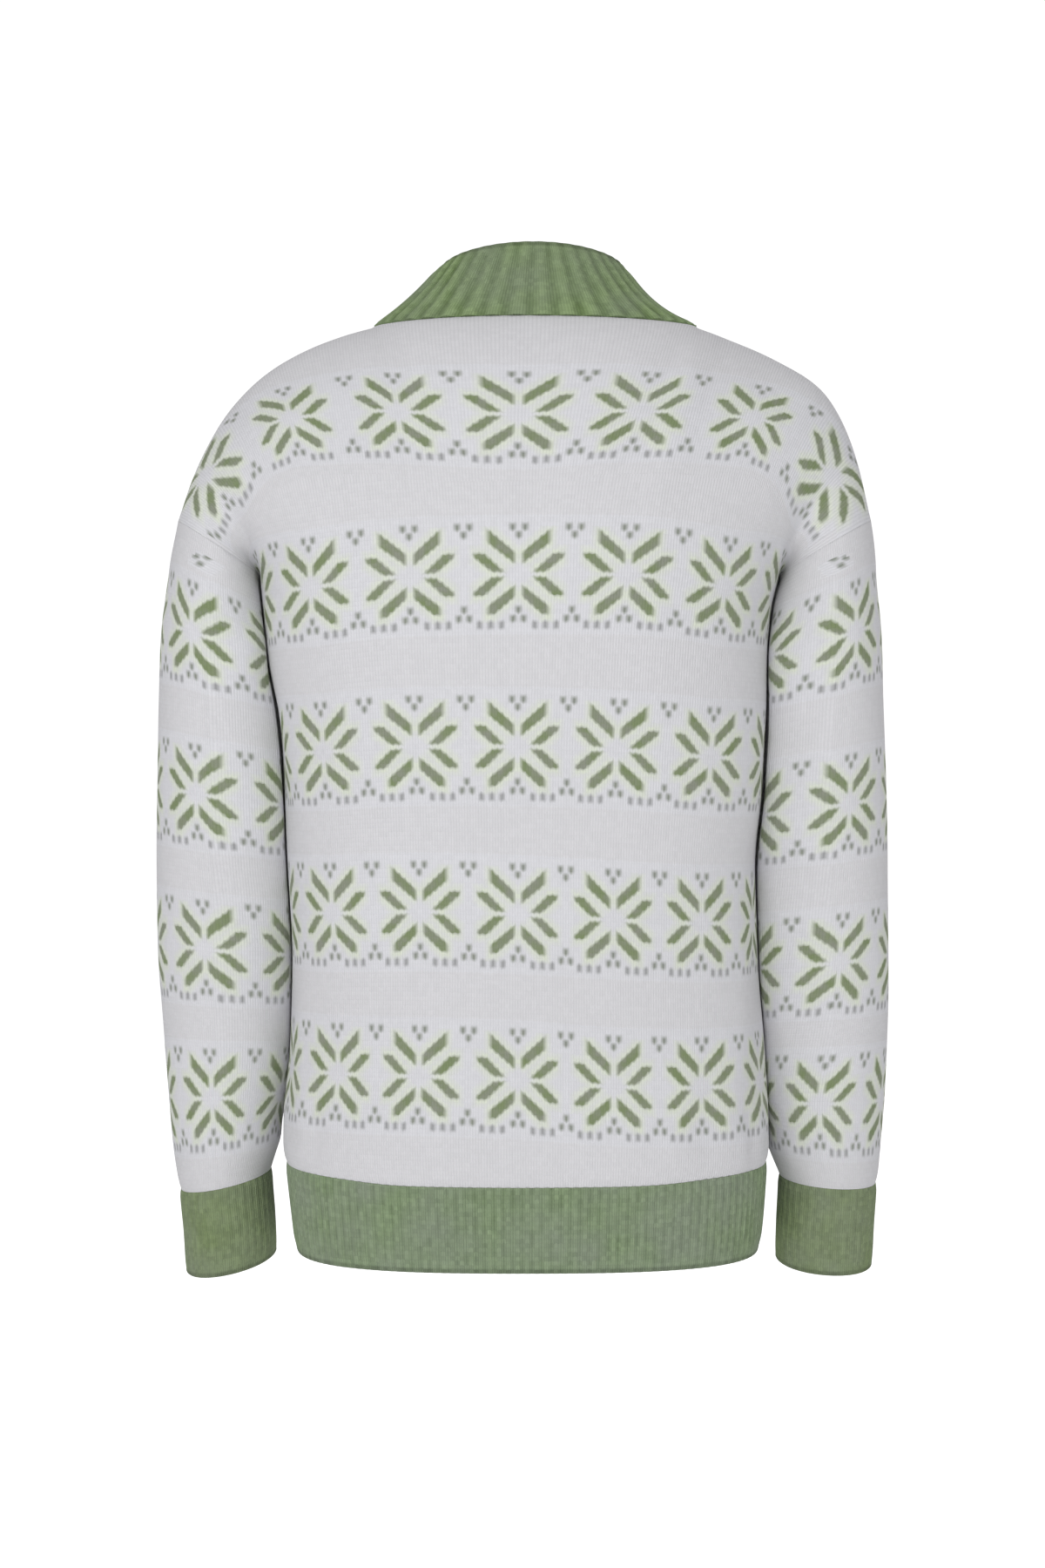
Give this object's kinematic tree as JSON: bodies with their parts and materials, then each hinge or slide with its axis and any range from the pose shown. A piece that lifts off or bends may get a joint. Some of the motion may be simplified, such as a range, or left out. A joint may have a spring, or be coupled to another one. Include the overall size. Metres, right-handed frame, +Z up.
{
  "type": "knitted pullover",
  "caption": "Worn-shape knitted pullover with patterned star bands, dropped sleeves, and a ribbed funnel collar, cuffs and hem.",
  "frame": {"origin": "on the garment's middle plane, level with the two neck points, where the shoulders carry it", "axes": "+Z up the body, +Y out of the back, the front faces -Y, +X to the wearer's left"},
  "size_m": [0.5106, 0.2473, 0.708],
  "materials": {
    "pale_knit": "matte brushed knit",
    "sage_rib": "matte ribbed knit"
  },
  "bodies": {
    "root": {"back": "pale_knit", "front": "pale_knit", "sleeve_left": "pale_knit", "sleeve_right": "pale_knit", "cuff_left": "sage_rib", "cuff_right": "sage_rib", "hem_band": "sage_rib", "collar": "sage_rib"}
  },
  "joints": []
}
